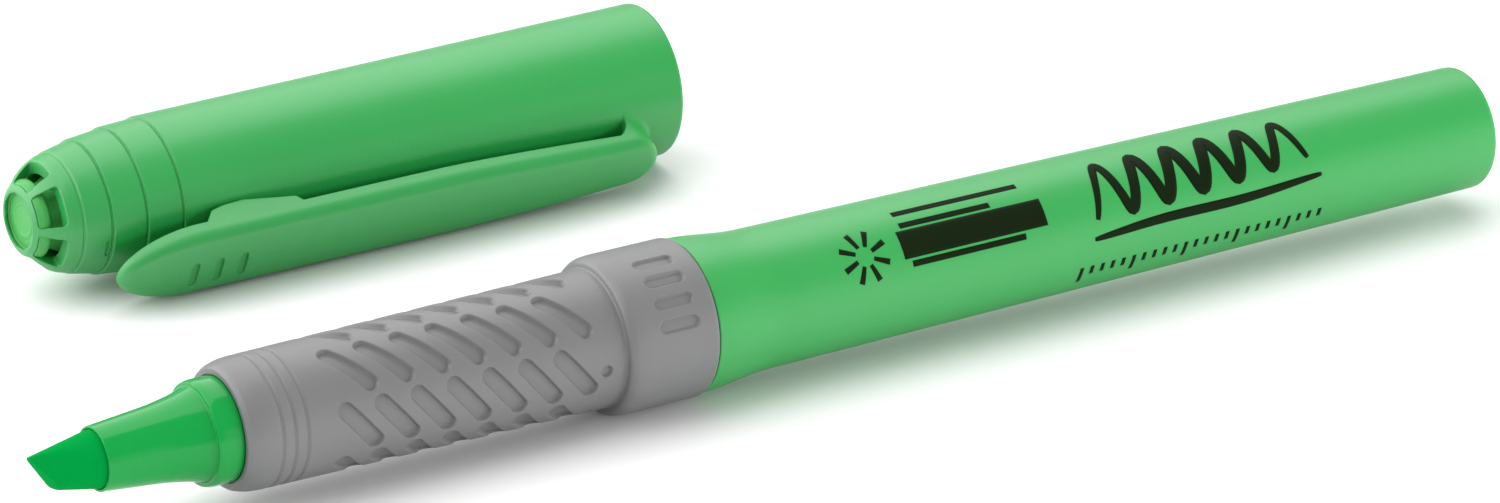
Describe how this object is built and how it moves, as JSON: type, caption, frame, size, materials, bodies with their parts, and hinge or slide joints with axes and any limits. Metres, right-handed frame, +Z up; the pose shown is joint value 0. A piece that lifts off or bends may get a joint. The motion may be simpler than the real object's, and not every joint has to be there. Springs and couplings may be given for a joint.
{
  "type": "capped grip highlighter",
  "caption": "Chisel-tip highlighter with a slotted soft grip, a collar, a tapering barrel, and a pull-off vented cap with a sprung pocket clip.",
  "frame": {"origin": "centre of the bounding box, on the surface the pen and cap lie on", "axes": "+X along the pen from nib to tail, +Y from the pen towards the cap lying beside it, +Z up"},
  "size_m": [0.132, 0.0564, 0.0129],
  "materials": {
    "nib_felt": "matt inked felt",
    "holder_plastic": "glossy, translucent",
    "grip_rubber": "satin",
    "barrel_plastic": "satin",
    "plug_plastic": "satin",
    "fibre": "matt fibre bundle",
    "film": "clear film",
    "cap_plastic": "satin",
    "seal_plastic": "satin"
  },
  "bodies": {
    "pen": {"barrel": "barrel_plastic", "nib": "nib_felt", "nib_holder": "holder_plastic", "grip_sleeve": "grip_rubber", "end_plug": "plug_plastic", "ink_reservoir": "fibre", "reservoir_film": "film"},
    "cap": {"cap_shell": "cap_plastic", "cap_inner_seal": "seal_plastic"},
    "clip": {"pocket_clip": "cap_plastic"}
  },
  "joints": [
    {"name": "cap_travel", "type": "slide", "parent": "pen", "child": "cap", "axis": [-0.9163, -0.4005, -0.0026], "range_m": [0, 0.10935]},
    {"name": "clip_flex", "type": "hinge", "parent": "cap", "child": "clip", "pos_m": [0.0105, 0.01595, 0.00391], "axis": [0, -0.4099, 0.9121], "range_deg": [0, 4], "stiffness_Nm_per_rad": 1.2}
  ]
}
